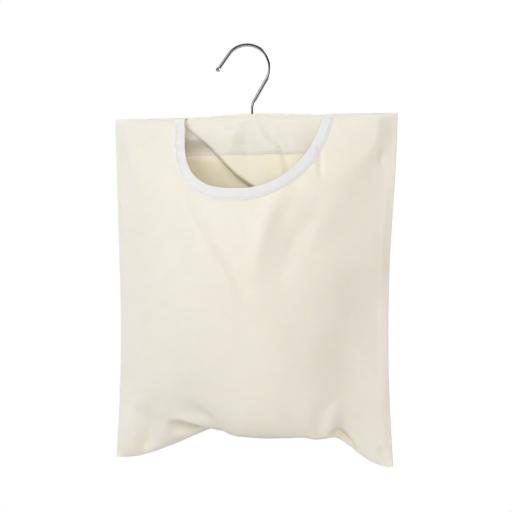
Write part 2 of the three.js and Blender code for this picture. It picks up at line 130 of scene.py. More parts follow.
# %% Belly and bar
FRONT_BELLY = 52.0
BACK_BELLY = 30.0
FRONT_LOW = 1.25  # the higher, the lower the belly lies
BACK_LOW = 1.5
BELLY_FULLNESS = 0.6  # 1 is a sine wave, less is fuller
FRONT_SLACK = 46.0  # spare cloth that rolls under the belly
BACK_SLACK = 24.0
ROLL_LEFT = (72.0, 70.0)  # the roll starts this far left of the middle, and fills over this length
ROLL_RIGHT = (119.0, 48.0)
ROLL_POWER = 6  # the higher, the closer the roll keeps to the bottom seam
BAR_HOLD = 3  # the higher, the further down the panels keep the bar's depth
PLATE_END = 0.75 * BAR_HALF + 0.25 * HALF
PLATE_SPREAD = 90.0  # below the bar, its depth starts to fall this much nearer to the middle
PLATE_SPREAD_DROP = 6 * BAR_BOTTOM


def panel_drop(across, down, slack):
    """The drop of a panel's point, down from 0 at the top seam to 1 at the bottom seam."""
    from_left = smooth(across * HALF + ROLL_LEFT[0], 0, ROLL_LEFT[1])
    from_right = smooth(ROLL_RIGHT[0] - across * HALF, 0, ROLL_RIGHT[1])
    most = (ROLL_POWER / (ROLL_POWER + 1)) ** ROLL_POWER / (ROLL_POWER + 1)
    roll = np.clip(down, 0, 1) ** ROLL_POWER * (1 - down) / most
    return bottom_seam_drop(across) * down + slack * from_left * from_right * roll


def over_bar(drop, reach):
    above = np.maximum(0, BAR_AXIS - drop)
    return np.sqrt(np.maximum(0, reach**2 - above**2))


def bar_plate(across, drop):
    """1 across the bar and 0 at the side seams. The lower the cloth hangs, the slower it falls."""
    start = PLATE_END - PLATE_SPREAD * smooth(drop, BAR_BOTTOM, PLATE_SPREAD_DROP)
    return 1 - smooth(np.abs(across) * HALF, start, HALF)


def swell(down, low):
    return np.sin(np.pi * np.clip(down, 0, 1) ** low) ** BELLY_FULLNESS


def panel_depth(across, down, drop, reach, belly, low):
    bar = over_bar(drop, reach) * bar_plate(across, drop) * (1 - np.clip(down, 0, 1) ** BAR_HOLD)
    return SEAM_DEPTH + bar * (1 - SEAM_DEPTH / reach) + belly * (1 - across**2) * swell(down, low)


def front_base(across, down):
    drop = panel_drop(across, down, FRONT_SLACK)
    depth = panel_depth(across, down, drop, FRONT_REACH, FRONT_BELLY, FRONT_LOW)
    return np.stack([sideways(across, drop), -depth, BAG_TOP - drop], axis=-1)


middle_line = front_base(np.zeros(50), np.linspace(0, 1, 50))
print(f"the belly stands {-middle_line[:, 1].min():.0f} mm forward of the seams")

# %% [markdown]
# ## Folds pressed into a sheet
# Folds are what make cloth look like cloth. Each one is a stroke along a few points on the sheet, as a
# sculptor would draw it: a crease is a groove or a ridge, and a tuck lets one side stand over the other.
# Broad, shallow waves keep the rest from looking pressed flat.

# %% Strokes
STROKE_ENDS = 0.6  # how soon a stroke rises from its ends, 1 being a sine wave


def beside(s, t, path):
    """The distance from a path of points, positive to its right, and the place along it from 0 to 1."""
    path = np.array(path, float)
    lengths = np.linalg.norm(np.diff(path, axis=0), axis=1)
    before = np.concatenate([[0], np.cumsum(lengths)])
    nearest = np.full(np.shape(s), np.inf)
    place = np.zeros(np.shape(s))
    for k, (a, b) in enumerate(zip(path[:-1], path[1:])):
        way = (b - a) / lengths[k]
        along = (s - a[0]) * way[0] + (t - a[1]) * way[1]
        held = np.clip(along, 0, lengths[k])
        off_s = s - a[0] - held * way[0]
        off_t = t - a[1] - held * way[1]
        distance = np.hypot(off_s, off_t)
        side = np.where(off_s * way[1] - off_t * way[0] < 0, -1.0, 1.0)
        closer = distance < np.abs(nearest)
        nearest = np.where(closer, side * distance, nearest)
        place = np.where(closer, (before[k] + held) / before[-1], place)
    return nearest, place


def crease(s, t, path, width, height):
    distance, place = beside(s, t, path)
    return height * np.sin(np.pi * place) ** STROKE_ENDS * np.exp(-((distance / width) ** 2))


def tuck(s, t, path, width, height, fade):
    distance, place = beside(s, t, path)
    ends = np.sin(np.pi * place) ** STROKE_ENDS
    return height * ends * np.tanh(distance / width) * np.exp(-((distance / fade) ** 2))


def press(out, s, t, strokes):
    """Adds strokes to how far a sheet stands out, at s across and t down it in millimetres.

    A stroke has its points, its width and its height. A tuck has the run that it fades over as well.
    """
    for path, width, height, *fade in strokes:
        stroke = tuck if fade else crease
        out = out + stroke(s, t, path, width, height, *fade)
    return out


# %% Waves, seams and normals
SEAM_FADE = 9.0  # folds end this far from the side seams
HEM_FADE = (-4.0, 12.0)
ALLOWANCE_RISE = 0.3  # the seam allowance inside lifts the cloth by this much
ALLOWANCE_IN = 6.5
ALLOWANCE_RUN = 2.6
ALLOWANCE_DROPS = (10.0, 30.0)  # it grows between these drops
WAVE_COUNT = 16
WAVE_LENGTHS = (0.6, 1.8)  # times a size


def uneven(s, t, seed, size):
    """Broad shallow waves, at most about 1, the same on every run."""
    rng = np.random.default_rng(seed)
    total = np.zeros(np.shape(s))
    for _ in range(WAVE_COUNT):
        angle = rng.uniform(0, np.pi)
        length = size * rng.uniform(*WAVE_LENGTHS)
        phase = rng.uniform(0, 2 * np.pi)
        total += np.sin(2 * np.pi * (s * math.cos(angle) + t * math.sin(angle)) / length + phase)
    return total / math.sqrt(WAVE_COUNT)


def shallow_waves(s, t, waves):
    """Waves of several heights, seeds and sizes together."""
    return sum(height * uneven(s, t, seed, size) for height, seed, size in waves)


def between_seams(out, s, t, top_fade):
    """Fades folds out at a panel's seams, and adds the low ridges of the seam allowance."""
    inward = HALF - np.abs(s)
    inside = smooth(inward, 0, SEAM_FADE) * smooth(t, *top_fade) * smooth(BAG_DROP - t, *HEM_FADE)
    ridge = ALLOWANCE_RISE * np.exp(-(((inward - ALLOWANCE_IN) / ALLOWANCE_RUN) ** 2))
    return out * inside + ridge * smooth(t, *ALLOWANCE_DROPS)


def normals(surface, across, down):
    """Unit normals of a surface, pointing to +Y on a hanging panel."""
    step = 1e-3
    along = surface(across + step, down) - surface(across - step, down)
    below = surface(across, down + step) - surface(across, down - step)
    normal = np.cross(along, below)
    return normal / np.maximum(np.linalg.norm(normal, axis=-1, keepdims=True), 1e-12)


# %% [markdown]
# ## The front panel's folds
# Below the mouth the cloth hangs in a shallow V between the two ends of the binding. The belly's lower left
# edge tucks over the ear, and small bumps sit where the roll ends on the right.

# %% Front folds
FRONT_STROKES = [
    # The V below the mouth
    ([(-58, 88), (-38, 118), (-21, 145), (-3, 170), (12, 196)], 4.5, -4.2, 26),
    ([(50, 80), (37, 108), (30, 138), (25, 180)], 11, 5.4),
    ([(90, 58), (88, 84), (78, 112), (66, 135), (57, 158), (50, 192)], 10, -2.6),
    ([(77, 34), (80, 52), (83, 72)], 3.2, -2.4),
    ([(90, 60), (86, 100), (70, 150)], 16, 2.0),
    # The belly's lower left edge
    ([(-84, 318), (-72, 327), (-58, 332), (-42, 335), (-24, 336)], 2.0, 4.5, 12),
    ([(-84, 325), (-66, 335), (-50, 339), (-30, 341)], 6.0, -8.0),
    ([(-56, 318), (-42, 310), (-26, 303)], 7, -1.6),
    # The left ear
    ([(-128, 294), (-124, 316), (-121, 336), (-119, 356)], 6, -4.5, 18),
    ([(-112, 300), (-108, 320), (-110, 345)], 9, -3.0),
    # The hollow down the right side, and the bumps and the ear below it
    ([(126, 150), (121, 210), (118, 270), (122, 340)], 23, -4.0),
    ([(97, 286), (96, 302), (92, 322)], 8, 2.2),
    ([(79, 278), (83, 296), (78, 312)], 8, -2.0),
    ([(96, 312), (103, 330), (112, 345)], 3.6, -9.0),
    ([(139, 326), (143, 336), (145, 347)], 5, -3.0),
    # The ends of the facing's stitching
    ([(-139, 37), (-135, 43), (-134, 50)], 2.2, -1.2),
    ([(139, 38), (137, 44), (137, 51)], 2.2, -1.2),
]
FRONT_WAVES = [(0.7, 4, 90), (0.25, 5, 34)]
FRONT_TOP_FADE = (4.0, 26.0)


def front_folds(s, t):
    """How far the front stands out, at s across and t down the panel in millimetres."""
    out = press(shallow_waves(s, t, FRONT_WAVES), s, t, FRONT_STROKES)
    return between_seams(out, s, t, FRONT_TOP_FADE)


def front_surface(across, down):
    base = front_base(across, down)
    out = front_folds(across * HALF, down * BAG_DROP)
    return base - normals(front_base, across, down) * out[..., None]


print(len(FRONT_STROKES), "folds on the front")

# %% [markdown]
# ## The mouth
# The mouth is a half-round cut down from the top edge. Its left half hangs open squarer than the right one.
# The front panel's points run out from this edge in rings, so the cut is a clean curve and needs no boolean.

# %% The mouth's edge
FULLNESS = (1.95, 2.9)  # of the right and the left half, 2 being round
LEFT_SPLAY = 3.0  # the left end is pulled outwards by this much at the top
SPLAY_DROP = 16.0
SIDE_SHARE = 0.34  # of the way round the panel's outer edge, for each side seam


def mouth_edge(turn, inset):
    """A point of the panel at an inset from the cut. turn is 0 at the right end and 1 at the left."""
    angle = np.pi * turn
    side = np.where(turn < 0.5, 1.0, -1.0)
    full = np.where(turn < 0.5, *FULLNESS)
    wide = np.abs(np.cos(angle)) ** (2 / full)
    deep = np.sin(angle) ** (2 / full)
    out_x = side * wide ** (full - 1) / (MOUTH_WIDTH / 2)
    out_t = deep ** (full - 1) / MOUTH_DEPTH
    size = np.hypot(out_x, out_t)
    drop = deep * MOUTH_DEPTH + out_t / size * inset
    x = MOUTH_RIGHT + side * wide * MOUTH_WIDTH / 2 + out_x / size * inset
    x = x - np.where(side < 0, LEFT_SPLAY, 0) * (1 - smooth(drop, 0, SPLAY_DROP))
    across = x / half_width(drop)
    return across, drop / bottom_seam_drop(across)


def outer_edge(turn):
    across = np.interp(turn, [0, SIDE_SHARE, 1 - SIDE_SHARE, 1], [1, 1, -1, -1])
    down = np.interp(turn, [0, SIDE_SHARE, 1 - SIDE_SHARE, 1], [0, 1, 1, 0])
    return across, down


ends = mouth_edge(np.array([0.0, 1.0]), 0.0)[0] * HALF
print(f"the mouth runs from {ends[1]:.0f} to {ends[0]:.0f} mm across the top")

# %% [markdown]
# ## From points to a sheet
# A sheet is a grid of points with a face and a lining half a thickness to each side, joined round the border.
# It carries a UV map in metres of flat cloth, so that the weave follows the cloth and not the room.

# %% Sheet maker
SHARP_EDGE = math.radians(50)


def tidy_normals(piece):
    """Turns all faces out and shades the piece smooth, apart from its sharp edges."""
    bpy.ops.object.select_all(action="DESELECT")
    bpy.context.view_layer.objects.active = piece
    piece.select_set(True)
    bpy.ops.object.mode_set(mode="EDIT")
    bpy.ops.mesh.select_all(action="SELECT")
    bpy.ops.mesh.normals_make_consistent(inside=False)
    bpy.ops.object.mode_set(mode="OBJECT")
    bpy.ops.object.shade_smooth_by_angle(angle=SHARP_EDGE)


def closed_sheet(name, face, lining, flat):
    rows, columns = face.shape[:2]
    count = rows * columns
    number = np.arange(count).reshape(rows, columns)
    corners = [number[:-1, :-1], number[:-1, 1:], number[1:, 1:], number[1:, :-1]]
    quads = np.stack(corners, -1).reshape(-1, 4)
    rim = np.concatenate([number[0], number[1:, -1], number[-1, -2::-1], number[-2:0:-1, 0]])
    after = np.roll(rim, -1)
    border = np.stack([rim, rim + count, after + count, after], -1)
    faces = np.concatenate([quads, quads[:, ::-1] + count, border])
    points = np.concatenate([face.reshape(-1, 3), lining.reshape(-1, 3)]) * MM
    mesh = bpy.data.meshes.new(name)
    mesh.from_pydata(points.tolist(), [], faces.tolist())
    uv = np.concatenate([flat.reshape(-1, 2)] * 2) * MM
    corner = np.empty(len(mesh.loops), int)
    mesh.loops.foreach_get("vertex_index", corner)
    mesh.uv_layers.new(name="cloth").data.foreach_set("uv", uv[corner].ravel())
    piece = bpy.data.objects.new(name, mesh)
    bpy.context.collection.objects.link(piece)
    tidy_normals(piece)
    return piece


def laid(surface, across, down, out=0.0):
    """Points of a surface, moved towards +Y by a distance along its normals."""
    return surface(across, down) + normals(surface, across, down) * np.asarray(out)[..., None]


def cloth_sheet(name, surface, across, down, flat):
    """A sheet of cloth whose middle lies on a surface."""
    face = laid(surface, across, down, CLOTH / 2)
    lining = laid(surface, across, down, -CLOTH / 2)
    return closed_sheet(name, face, lining, flat)


def flat_place(across, down):
    return np.stack([across * HALF, -down * BAG_DROP], axis=-1)


def say(piece):
    wide, deep, tall = np.array(piece.dimensions) / MM
    print(f"{piece.name}: {len(piece.data.polygons)} faces, {wide:.0f} by {deep:.0f} by {tall:.0f} mm")


# %% Front panel
SIDE_SPOKES = 96
BOTTOM_SPOKES = 110
RINGS = 104
BOUND_RINGS = 6  # under the binding
SPOKE_CROWD = 1.25  # how the points crowd towards the mouth's ends, 1 being even
RING_CROWD = 1.15  # and towards the seams
side_turns = SIDE_SHARE * (np.arange(SIDE_SPOKES) / SIDE_SPOKES) ** SPOKE_CROWD
bottom_turns = np.linspace(SIDE_SHARE, 1 - SIDE_SHARE, BOTTOM_SPOKES + 1)
turns = np.concatenate([side_turns, bottom_turns, 1 - side_turns[::-1]])
bound = [mouth_edge(turns, inset) for inset in np.linspace(0, BINDING_WIDTH, BOUND_RINGS)]
outer = outer_edge(turns)
ring_shares = 1 - (1 - np.arange(1, RINGS + 1) / RINGS) ** RING_CROWD
spread = [[(1 - k) * bound[-1][i] + k * outer[i] for k in ring_shares] for i in (0, 1)]
front_across = np.stack([pair[0] for pair in bound] + spread[0], axis=1)
front_down = np.stack([pair[1] for pair in bound] + spread[1], axis=1)
front_flat = flat_place(front_across, front_down)
front = cloth_sheet("front_cloth", front_surface, front_across, front_down, front_flat)
say(front)

# %% [markdown]
# ## The back panel and the facing
# Behind the mouth the back cloth is drawn forward from the hook in soft pleats, and its left edge rolls back
# in a slanting fold. The facing is the strip that holds the bar. It takes the same folds, because it is sewn
# to the back panel along its lower edge.

# %% Pleats below the hook
PLEATS = [
    ([(5, 3), (10, 10), (17, 19), (24, 26), (30, 30), (34, 40), (38, 54), (40, 84)], 2.4, -3.4, 13),
    ([(30, 10), (46, 30), (56, 58), (58, 84)], 11, 3.6),
    ([(-2, 3), (-4, 28), (-1, 54), (2, 84)], 8, -3.0),
    ([(-10, 6), (-20, 26), (-22, 46), (-18, 70)], 9, 3.2),
    ([(12, 20), (18, 40), (22, 70)], 8, 2.4),
    ([(-30, 14), (-21, 13), (-11, 8)], 3.0, -1.8),
]
FORWARD_SLACK = 4.0  # how far the cloth swings forward below the top seam
FORWARD_DROPS = (3.0, 20.0)
TAUT = 0.7  # the share of that which is taken up at the right
TAUT_RIGHT = (30.0, 75.0)
HANGING_SLACK = 1.0  # from there down to the mouth's lowest point
BAR_CLEAR = 1.0


def forward_place(x, drop):
    """Where the facing lies when it is drawn forward, clear of the bar."""
    slack = FORWARD_SLACK * smooth(drop, *FORWARD_DROPS) * (1 - TAUT * smooth(x, *TAUT_RIGHT))
    slack = slack + HANGING_SLACK * smooth(drop, FORWARD_DROPS[1], MOUTH_DEPTH)
    place = -(BACK_REACH + BAR_CLEAR + slack + press(0.0, x, drop, PLEATS))
    return np.where(drop < BAR_BOTTOM, np.minimum(place, -BACK_REACH), place)


print(len(PLEATS), "pleats below the hook")

# %% The slanting fold
FOLD_PATH = [(-78, 0), (-70, 6), (-58, 15), (-43, 29), (-28, 45), (-13, 60), (4, 72), (24, 84)]
FOLD_PATH += [(46, 98), (68, 116), (86, 140), (98, 170), (106, 210)]  # out of sight, below the mouth
FOLD_START = 3.5  # the roll starts this far left of the path
FOLD_ROLL = (5.0, 0.03)  # the roll's width at the top, and how it grows with the drop
FOLD_OPENS = (6.0, 0.5)  # this far below the mouth the roll starts to open out, and how fast
FOLD_EASE = 0.6  # 1 is an even S, and less rises sooner
FOLD_FADE = (10.0, 120.0)  # the drops below the mouth between which the fold fades
FOLD_RIGHT = (66.0, 130.0)


def drawn_forward(x, drop):
    """1 where the cloth is drawn forward, right of the slanting fold, and 0 where it hangs back."""
    beside_fold, _ = beside(x, drop, FOLD_PATH)
    opened = np.maximum(0, drop - MOUTH_DEPTH - FOLD_OPENS[0])
    roll = FOLD_ROLL[0] + FOLD_ROLL[1] * drop + FOLD_OPENS[1] * opened
    rolled = smooth(np.clip((beside_fold + FOLD_START) / roll, 0, 1) ** FOLD_EASE, 0, 1)
    below = smooth(drop, MOUTH_DEPTH + FOLD_FADE[0], MOUTH_DEPTH + FOLD_FADE[1])
    fade = (1 - below) * (1 - smooth(x, *FOLD_RIGHT))
    return rolled * fade


print("the slanting fold runs through", len(FOLD_PATH), "points")

# %% The top edge and the back's own folds
RIDGE_LIFT = 3.0  # the top seam peaks at the hook
RIDGE_RUN = 50.0
PARTING = 2.5  # the layers part by this much round the hook's shank
PARTING_DROP = 2.85
BACK_STROKES = [
    ([(-70, 40), (-52, 130), (-30, 220)], 12, -3.0),
    ([(64, 44), (50, 120), (28, 190)], 13, -3.0),
    ([(-20, 60), (-12, 150), (4, 240)], 20, 2.4),
    ([(-118, 300), (-112, 322), (-116, 345)], 8, -3.0),
    ([(112, 300), (108, 322), (116, 345)], 8, -3.0),
]
BACK_WAVES = [(0.8, 8, 95), (0.25, 9, 36)]
BACK_TOP_FADE = (FACING_DROP, 90.0)


def ridge_lift(x, drop):
    return RIDGE_LIFT * np.exp(-((x / RIDGE_RUN) ** 2)) * np.clip(1 - drop / BAR_AXIS, 0, 1)


def part_at_hook(x, drop):
    return PARTING * np.exp(-((x / (2 * PARTING)) ** 2)) * (1 - smooth(drop, PARTING_DROP, BAR_AXIS))


def back_folds(s, t):
    """Soft hanging folds of the back, standing out from the bag."""
    out = press(shallow_waves(s, t, BACK_WAVES), s, t, BACK_STROKES)
    return between_seams(out, s, t, BACK_TOP_FADE)


print(len(BACK_STROKES), "folds on the back")

# %% The back's surface
SEWN_GAP = 0.1
LAYERS = CLOTH + SEWN_GAP  # from the facing's middle to the back panel's, where they are sewn
FLATTER = 15.0  # left of the fold the back hangs flatter by this much
FLATTER_LEFT = 42.0  # most of all this far left of the hook
FLATTER_REACH = (42.0, 90.0)
FLATTER_DROPS = (45.0, 80.0, 150.0)  # where that is reached, and where it starts and ends to fade
DRAWN_CLEAR = 4.0  # the back is drawn forward this far above the facing's lower edge


def back_depth(x, across, down, drop):
    """The back's depth where it isn't drawn forward."""
    left_of_fold = 1 - smooth(np.abs(x + FLATTER_LEFT), *FLATTER_REACH)
    reached, fades, ended = FLATTER_DROPS
    flat = FLATTER * smooth(drop, BAR_BOTTOM, reached) * (1 - smooth(drop, fades, ended)) * left_of_fold
    return panel_depth(across, down, drop, BACK_REACH, BACK_BELLY, BACK_LOW) - flat


def back_surface(across, down):
    drop = panel_drop(across, down, BACK_SLACK)
    x = sideways(across, drop)
    depth = back_depth(x, across, down, drop)
    depth = depth + part_at_hook(x, drop) + back_folds(across * HALF, down * BAG_DROP)
    drawn = drawn_forward(x, drop) * smooth(drop, BAR_BOTTOM, FACING_DROP - DRAWN_CLEAR)
    depth = depth + (forward_place(x, drop) + LAYERS - depth) * drawn
    return np.stack([x, depth, BAG_TOP - drop + ridge_lift(x, drop)], axis=-1)


centre = back_surface(np.array(0.0), np.array(0.5))
print(f"halfway down, the back stands {centre[1]:.0f} mm behind the seams")

# %% Back panel
# Columns and rows by their numbers and places. They are closer along the slanting fold.
COLUMN_NUMBERS = [0, 8, 28, 140, 182, 190]
COLUMN_PLACES = [-150, -138, -88, 36, 138, 150]
ROW_NUMBERS = [0, 8, 74, 189]
ROW_DROPS = [BAR_AXIS, 20, 98, BAG_DROP]
OVER_ROWS = 12  # over the bar
OVER_CROWD = 1.3
columns = np.interp(np.arange(COLUMN_NUMBERS[-1] + 1), COLUMN_NUMBERS, COLUMN_PLACES) / HALF
over_rows = np.linspace(0, 1, OVER_ROWS, endpoint=False) ** OVER_CROWD * (BAR_AXIS / BAG_DROP)
hung_rows = np.interp(np.arange(ROW_NUMBERS[-1] + 1), ROW_NUMBERS, ROW_DROPS) / BAG_DROP
back_across, back_down = np.meshgrid(columns, np.concatenate([over_rows, hung_rows]))
back_flat = flat_place(back_across, back_down)
back = cloth_sheet("back_cloth", back_surface, back_across, back_down, back_flat)
say(back)

# %% Facing
FACING_TOP = 0.6
FACING_COLUMNS = 221
FACING_ROWS = 36  # below the bar's axis
STITCH_IN = 2.0  # from an edge to its line of stitching
SEWN_RUN = 3.0  # the facing comes to lie on the back panel over this length above its stitching
FACING_DRAWN = (1.0, 12.0)  # the drops between which it comes to be drawn forward


def facing_surface(x, drop):
    across = x / half_width(drop)
    down = drop / bottom_seam_drop(across)
    hung = back_depth(x, across, down, drop) - LAYERS
    over = -over_bar(drop, BACK_REACH) * bar_plate(across, drop) - part_at_hook(x, drop) - SEAM_DEPTH
    depth = over + (hung - over) * smooth(drop, BAR_BOTTOM, FACING_DROP)
    drawn = (forward_place(x, drop) - depth) * drawn_forward(x, drop)
    depth = depth + drawn * smooth(drop, *FACING_DRAWN)
    loose = np.stack([x, depth, BAG_TOP - drop + ridge_lift(x, drop)], axis=-1)
    sewn = laid(back_surface, across, down, -LAYERS)
    joined = smooth(drop, FACING_DROP - STITCH_IN - SEWN_RUN, FACING_DROP - STITCH_IN)
    return loose + (sewn - loose) * joined[..., None]


over_drops = np.linspace(FACING_TOP, BAR_AXIS, OVER_ROWS, endpoint=False)
hung_drops = np.linspace(BAR_AXIS, FACING_DROP, FACING_ROWS)
facing_x, facing_drop = np.meshgrid(
    np.linspace(-FACING_HALF, FACING_HALF, FACING_COLUMNS),
    np.concatenate([over_drops, hung_drops]),
)
facing_flat = np.stack([facing_x, -facing_drop], axis=-1)
facing = cloth_sheet("facing_cloth", facing_surface, facing_x, facing_drop, facing_flat)
say(facing)

# %% [markdown]
# ## The binding
# Bias tape folds over the cut edge, so its section is a narrow U with a leaf on each face of the cloth. It
# puckers a little between stitches. Sweeping that section round the mouth follows the panel exactly.

# %% Binding
TAPE_GAP = 0.06
TAPE_END = 0.11  # the tape stops at this angle from each end of the mouth
BINDING_TURNS = 240
LEAF_POINTS = 12
BEND_POINTS = 9
PUCKER = 0.13
PUCKER_LENGTH = 6.5
PUCKER_IN = (1.5, 6.0)  # it grows between these insets


def from_start(points):
    """Each point's distance along a line of points."""
    return np.concatenate([[0], np.cumsum(np.linalg.norm(np.diff(points, axis=0), axis=1))])


def tape_section(radius):
    """Pairs of inset and height over the panel, from the outer leaf round the fold to the inner one."""
    insets = np.linspace(BINDING_WIDTH, 0, LEAF_POINTS)
    bend = np.linspace(0, np.pi, BEND_POINTS)[1:-1]
    outer_leaf = [(inset, radius) for inset in insets]
    fold = [(-radius * math.sin(angle), radius * math.cos(angle)) for angle in bend]
    inner_leaf = [(inset, -radius) for inset in insets[::-1]]
    return np.array(outer_leaf + fold + inner_leaf)


def tape_layer(radius):
    section = tape_section(radius)
    turn, inset = np.meshgrid(tape_turns, section[:, 0], indexing="ij")
    height = np.broadcast_to(section[:, 1], turn.shape)
    wave = np.sin(2 * np.pi * tape_lengths[:, None] / PUCKER_LENGTH)
    pucker = PUCKER * wave * smooth(inset, *PUCKER_IN)
    across, down = mouth_edge(turn, inset)
    return laid(front_surface, across, down, -(height + pucker * np.sign(height)))


tape_turns = 0.5 - 0.5 * np.cos(np.linspace(TAPE_END, np.pi - TAPE_END, BINDING_TURNS))
tape_lengths = from_start(front_surface(*mouth_edge(tape_turns, 0.0)))
inner_radius = CLOTH / 2 + TAPE_GAP
section_lengths = from_start(tape_section(inner_radius))
tape_flat = np.stack(np.meshgrid(tape_lengths, section_lengths, indexing="ij"), axis=-1)
outer_layer = tape_layer(inner_radius + TAPE)
binding = closed_sheet("binding_tape", outer_layer, tape_layer(inner_radius), tape_flat)
say(binding)
print(f"the tape is {tape_lengths[-1]:.0f} mm long and {section_lengths[-1]:.0f} mm wide")

# %% [markdown]
# ## Stitches
# A seam is a row of short stitches, each a grain of thread that dips into the cloth at both ends. One grain
# is modelled from a sphere, and every stitch is a copy of it laid along its seam.

# %% One stitch
STITCH_PITCH = 3.0
STITCH_SHARE = 0.86  # of the pitch that shows as thread
bpy.ops.object.select_all(action="DESELECT")
bpy.ops.mesh.primitive_uv_sphere_add(segments=8, ring_count=6, radius=0.5)
grain = bpy.context.object
bpy.ops.object.mode_set(mode="EDIT")
bpy.ops.mesh.select_all(action="SELECT")
bpy.ops.transform.resize(value=(THREAD, THREAD, STITCH_SHARE * STITCH_PITCH), center_override=(0, 0, 0))
bpy.ops.object.mode_set(mode="OBJECT")
grain_points = np.array([vertex.co for vertex in grain.data.vertices])
grain_faces = [list(face.vertices) for face in grain.data.polygons]
bpy.data.objects.remove(grain)
print("a stitch has", len(grain_faces), "faces")


# %% Rows of stitches
NEAR = 0.5  # a stitch's direction is taken this far to each side of it


def unit(ways):
    return ways / np.linalg.norm(ways, axis=1, keepdims=True)


def stitch_row(name, line, outward):
    """Stitches along a line of points, each lying on the cloth whose outward direction is given."""
    lengths = from_start(line)
    count = int(lengths[-1] / STITCH_PITCH)
    places = (np.arange(count) + 0.5) * lengths[-1] / count

    def pick(values, at):
        return np.stack([np.interp(at, lengths, values[:, i]) for i in range(3)], -1)

    way = unit(pick(line, places + NEAR) - pick(line, places - NEAR))
    across = unit(np.cross(pick(outward, places), way))
    axes = np.stack([across, np.cross(way, across), way], axis=1)
    points = pick(line, places)[:, None, :] + np.einsum("pk,nkj->npj", grain_points, axes)
    faces = [[k * len(grain_points) + i for i in face] for k in range(count) for face in grain_faces]
    mesh = bpy.data.meshes.new(name)
    mesh.from_pydata((points.reshape(-1, 3) * MM).tolist(), [], faces)
    piece = bpy.data.objects.new(name, mesh)
    bpy.context.collection.objects.link(piece)
    tidy_normals(piece)
    print(f"{name}: {count} stitches")
    return piece


def towards(line, direction):
    return np.broadcast_to(np.array(direction, float), line.shape)


# %% Seams
SEAM_END = 3.0  # from a seam's end to the corner of the bag
SEAM_POINTS = 400
HOOK_OPENING = 10.0  # the top seam starts this far from the hook
TOP_STITCH_DROP = 1.0
along = np.linspace(0, 1, SEAM_POINTS)
seams = {}
for side, word in ((-1, "left"), (1, "right")):
    x = side * (HOOK_OPENING + along * (HALF - SEAM_END - HOOK_OPENING))
    line = np.stack([x, 0 * x, BAG_TOP - TOP_STITCH_DROP + ridge_lift(x, TOP_STITCH_DROP)], -1)
    seams[f"top_seam_{word}"] = stitch_row(f"top_stitches_{word}", line, towards(line, (0, 0, 1)))
    drop = 2 * SEAM_END + along * (BAG_DROP - 3 * SEAM_END)
    line = np.stack([sideways(side, drop), 0 * drop, BAG_TOP - drop], -1)
    seams[f"side_seam_{word}"] = stitch_row(f"side_stitches_{word}", line, towards(line, (side, 0, 0)))
across = (2 * along - 1) * (1 - SEAM_END / HALF)
drop = bottom_seam_drop(across)
line = np.stack([sideways(across, drop), 0 * drop, BAG_TOP - drop], -1)
seams["bottom_seam"] = stitch_row("bottom_stitches", line, towards(line, (0, 0, -1)))

# %% Stitches on the facing and the tape
BINDING_STITCH_END = 0.2  # the stitching stops at this angle from each end of the mouth
FACING_STITCH_RISE = 0.25 * THREAD - CLOTH / 2  # the stitches are sunk in the cloth, and less in the tape
TAPE_STITCH_RISE = inner_radius + TAPE + 0.1 * THREAD
x = (2 * along - 1) * (FACING_HALF - SEAM_END)
drop = np.full_like(x, FACING_DROP - STITCH_IN)
line = laid(facing_surface, x, drop, FACING_STITCH_RISE)
seams["facing_seam"] = stitch_row("facing_stitches", line, -normals(facing_surface, x, drop))
turns = 0.5 - 0.5 * np.cos(np.linspace(BINDING_STITCH_END, np.pi - BINDING_STITCH_END, SEAM_POINTS))
across, down = mouth_edge(turns, BINDING_WIDTH - STITCH_IN)
line = laid(front_surface, across, down, -TAPE_STITCH_RISE)
seams["binding_seam"] = stitch_row("binding_stitches", line, -normals(front_surface, across, down))

# %% [markdown]
# ## The hook
# The hook is one length of round wire, peened to a head below the washer and bent twice. A disc is extruded
# and spun along that path, as the wire was bent: up the shank, round the neck, up the slope and round the big
# bend.

# %% The hook's path
BEND_INSIDE = 20.9
BEND_RADIUS = BEND_INSIDE + WIRE / 2
BEND_OFFSET = 5.6  # the bend's centre lies this far to the tip's side of the shank
HOOK_TURN = math.radians(20)
HOOK_FLARE = 6.4  # the tip stands this far outside the bend
TIP_BELOW = 2.0  # and this far below its centre
SLOPE_BELOW = 13.3  # from the bend's lowest point down to the slope's foot
NECK_RADIUS = 15.0
bend_centre = Vector((-BEND_OFFSET, 0, -math.sqrt(BEND_INSIDE**2 - BEND_OFFSET**2)))
tip = bend_centre + Vector((-BEND_RADIUS - HOOK_FLARE, 0, -TIP_BELOW))
slope_foot = Vector((0, 0, bend_centre.z - BEND_RADIUS - SLOPE_BELOW))


def touch(point, turn):
    """The angle about the bend's centre where a straight run from a point touches the bend."""
    out = point - bend_centre
    return math.atan2(out.z, out.x) + turn * math.acos(BEND_RADIUS / out.length)


first = touch(tip, -1) % (2 * math.pi)
last = touch(slope_foot, 1)
slope_top = bend_centre + BEND_RADIUS * Vector((math.cos(last), 0, math.sin(last)))
bend_end = bend_centre + BEND_RADIUS * Vector((math.cos(first), 0, math.sin(first)))
slope = slope_top - slope_foot
lean = math.acos(slope.normalized().z)
cut = NECK_RADIUS * math.tan(lean / 2)
print(f"the bend turns {math.degrees(first - last):.0f} degrees, the slope leans {math.degrees(lean):.0f}")

# %% Bend the wire
HEAD_RADIUS = 3.75
HEAD_HEIGHT = 2.0
NECK_STEPS = 10
BEND_STEPS = 64
head_foot = BAG_TOP - HEAD_BOTTOM
bpy.ops.object.select_all(action="DESELECT")
bpy.ops.mesh.primitive_circle_add(vertices=24, radius=HEAD_RADIUS * MM, fill_type="NGON")
hook = bpy.context.object
hook.name = "hook_wire"
bpy.ops.object.mode_set(mode="EDIT")
bpy.ops.mesh.select_all(action="SELECT")
bpy.ops.transform.translate(value=(0, 0, head_foot * MM))


